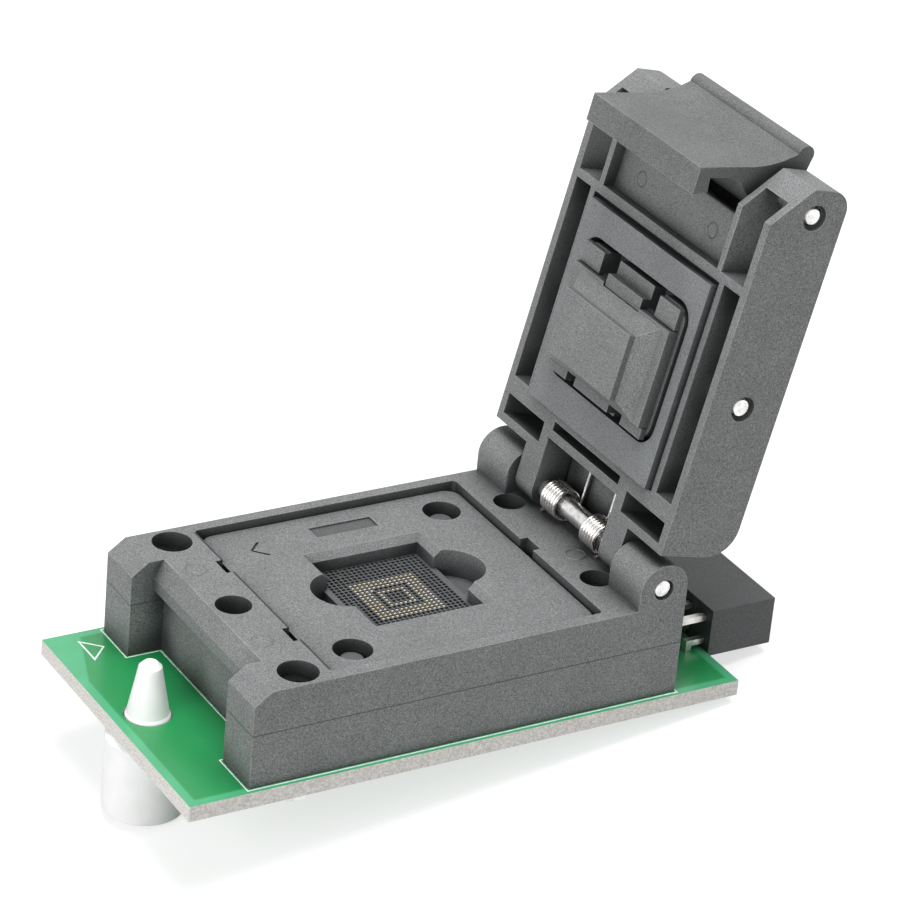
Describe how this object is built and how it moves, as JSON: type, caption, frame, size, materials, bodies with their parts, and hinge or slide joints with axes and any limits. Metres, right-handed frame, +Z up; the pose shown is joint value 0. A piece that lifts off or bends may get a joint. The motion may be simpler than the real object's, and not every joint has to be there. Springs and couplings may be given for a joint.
{
  "type": "bga socket adapter",
  "caption": "Clamshell test socket with a hinged lid, sprung pusher and latch, on a small board with a right-angle header and a nylon support post",
  "frame": {"origin": "centre of the chip seat, on the top face of the perforated contact plate", "axes": "+X runs along the board from the latch towards the lid hinge and the header, +Z is up from the board, +Y is away from the front"},
  "size_m": [0.0663, 0.0314, 0.062],
  "materials": {
    "solder_mask": "satin",
    "nylon": "satin",
    "header_plastic": "satin",
    "contact_metal": "bright tin",
    "contact_gold": "bright",
    "socket_plastic": "glass-filled satin",
    "plate_plastic": "satin",
    "bright_steel": "bright",
    "dark_steel": "blackened",
    "spring_steel": "bright drawn wire"
  },
  "bodies": {
    "base": {"board": "solder_mask", "support_post": "nylon", "header_shell": "header_plastic", "header_contacts": "contact_metal", "lower_housing": "socket_plastic", "upper_frame": "socket_plastic", "contact_block": "socket_plastic", "contact_tips": "contact_gold", "nest_springs": "spring_steel", "frame_screws": "dark_steel", "screw_nuts": "bright_steel", "hinge_pin": "bright_steel", "hinge_spring": "spring_steel"},
    "nest": {"contact_plate": "socket_plastic", "chip_guide": "socket_plastic"},
    "lid": {"lid_frame": "socket_plastic", "pressure_plate": "plate_plastic", "pusher_pin": "bright_steel", "latch_pin": "bright_steel", "latch_spring": "spring_steel", "pusher_springs": "spring_steel"},
    "pusher": {"pusher_holder": "socket_plastic", "pusher_insert": "socket_plastic"},
    "latch": {"latch": "socket_plastic"}
  },
  "joints": [
    {"name": "lid_hinge", "type": "hinge", "parent": "base", "child": "lid", "pos_m": [0.0198, 0, 0.0045], "axis": [0, 1, 0], "range_deg": [-103, 0], "stiffness_Nm_per_rad": 0.004, "springref_deg": 51.57, "deforming": ["hinge_spring"]},
    {"name": "nest_float", "type": "slide", "parent": "base", "child": "nest", "axis": [0, 0, -1], "range_m": [0, 0.00045], "stiffness_N_per_m": 200, "springref_m": -0.0003, "deforming": ["nest_springs"]},
    {"name": "pusher_press", "type": "slide", "parent": "lid", "child": "pusher", "axis": [0.9744, 0, -0.225], "range_m": [0, 0.0019], "deforming": ["pusher_springs"]},
    {"name": "latch_pivot", "type": "hinge", "parent": "lid", "child": "latch", "pos_m": [0.03127, 0, 0.04085], "axis": [0, 1, 0], "range_deg": [0, 24], "deforming": ["latch_spring"]}
  ],
  "couplings": [
    {"joint": "pusher_press", "follows": "lid_hinge", "m_per_rad": -0.0010568},
    {"joint": "latch_pivot", "follows": "lid_hinge", "ratio": -0.233}
  ]
}
